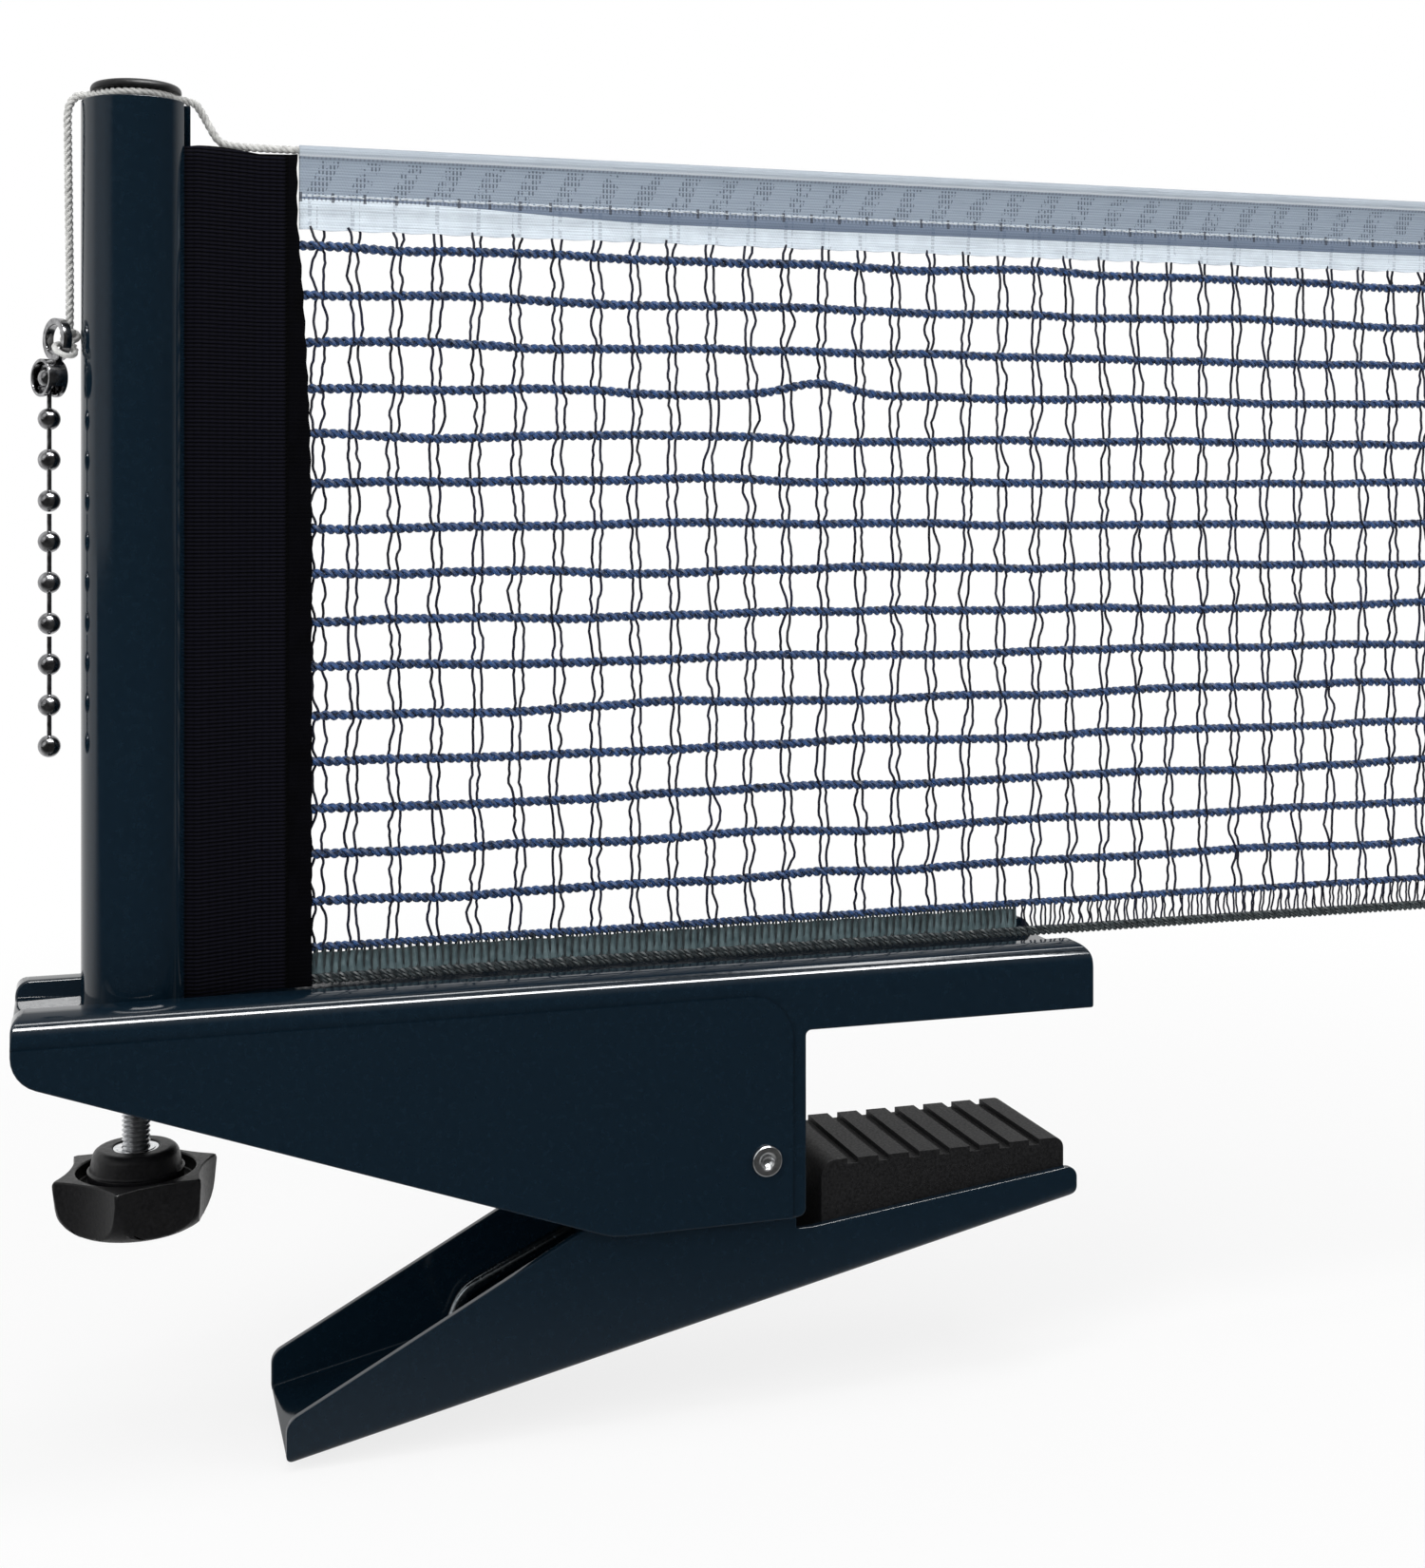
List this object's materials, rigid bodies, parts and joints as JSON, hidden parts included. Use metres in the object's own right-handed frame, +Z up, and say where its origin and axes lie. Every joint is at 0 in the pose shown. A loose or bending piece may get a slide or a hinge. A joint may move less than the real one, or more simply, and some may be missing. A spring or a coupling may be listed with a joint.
{
  "type": "table tennis net clamp",
  "caption": "Spring-jaw table clamp with a slit net post on a height screw, and the first stretch of the net with its tensioning cord and ball chain.",
  "frame": {"origin": "on the upper jaw's pad face, in the net's centre plane, level with the table's side", "axes": "+X along the net over the table, +Y to the back of the clamp, +Z up"},
  "size_m": [0.3026, 0.0376, 0.2338],
  "materials": {
    "paint": "glossy dark blue-black enamel",
    "zinc": "zinc plated",
    "rivet_steel": "bright nickel plated",
    "spring_steel": "oiled spring wire",
    "pad_rubber": "moulded black rubber",
    "black_plastic": "moulded, satin",
    "band_cloth": "woven black tape",
    "netting": "knotted navy cord",
    "tape_cloth": "white woven tape",
    "hem_cloth": "dense knitted selvedge",
    "cord": "twisted off-white cord",
    "chain_metal": "dark nickel plated"
  },
  "bodies": {
    "clamp": {"arm": "paint", "pivot_rivet": "rivet_steel", "pivot_sleeve": "zinc", "pivot_washers": "zinc", "torsion_spring": "spring_steel", "upper_pad": "pad_rubber", "screw_bracket": "zinc", "thrust_washer": "zinc"},
    "lever_jaw": {"lever": "paint", "lower_pad": "pad_rubber"},
    "knob": {"adjusting_screw": "zinc", "star_knob": "black_plastic", "knob_insert": "rivet_steel", "screw_clip": "spring_steel"},
    "post": {"post_tube": "paint", "post_cap": "black_plastic", "post_foot": "black_plastic", "foot_pins": "zinc", "height_nut": "zinc", "net_band": "band_cloth", "band_rod": "zinc", "net_mesh": "netting", "top_tape": "tape_cloth", "bottom_hem": "hem_cloth", "far_band": "band_cloth", "tension_cord": "cord", "chain_coupling": "chain_metal"},
    "chain_a": {"chain_upper": "chain_metal"},
    "chain_b": {"chain_middle": "chain_metal"},
    "chain_c": {"chain_lower": "chain_metal"}
  },
  "joints": [
    {"name": "lever_pivot", "type": "hinge", "parent": "clamp", "child": "lever_jaw", "pos_m": [-0.0078, 0, -0.0225], "axis": [0, 1, 0], "range_deg": [-22, 20], "stiffness_Nm_per_rad": 8, "deforming": ["torsion_spring"]},
    {"name": "knob_turn", "type": "hinge", "parent": "clamp", "child": "knob", "pos_m": [-0.116, 0, -0.02], "axis": [0, 0, 1], "range_deg": [-2701, 451]},
    {"name": "post_lift", "type": "slide", "parent": "clamp", "child": "post", "axis": [0, 0, 1], "range_m": [-0.001, 0.006]},
    {"name": "chain_swing", "type": "hinge", "parent": "post", "child": "chain_a", "pos_m": [-0.1302, 0, 0.1163], "axis": [0.866, 0.5, 0], "range_deg": [-35, 35]},
    {"name": "chain_bend_1", "type": "hinge", "parent": "chain_a", "child": "chain_b", "pos_m": [-0.1302, 0, 0.09548], "axis": [0.866, 0.5, 0], "range_deg": [-35, 35]},
    {"name": "chain_bend_2", "type": "hinge", "parent": "chain_b", "child": "chain_c", "pos_m": [-0.1302, 0, 0.07466], "axis": [0.866, 0.5, 0], "range_deg": [-35, 35]}
  ],
  "couplings": [
    {"joint": "knob_turn", "follows": "post_lift", "rad_per_m": -7854}
  ]
}
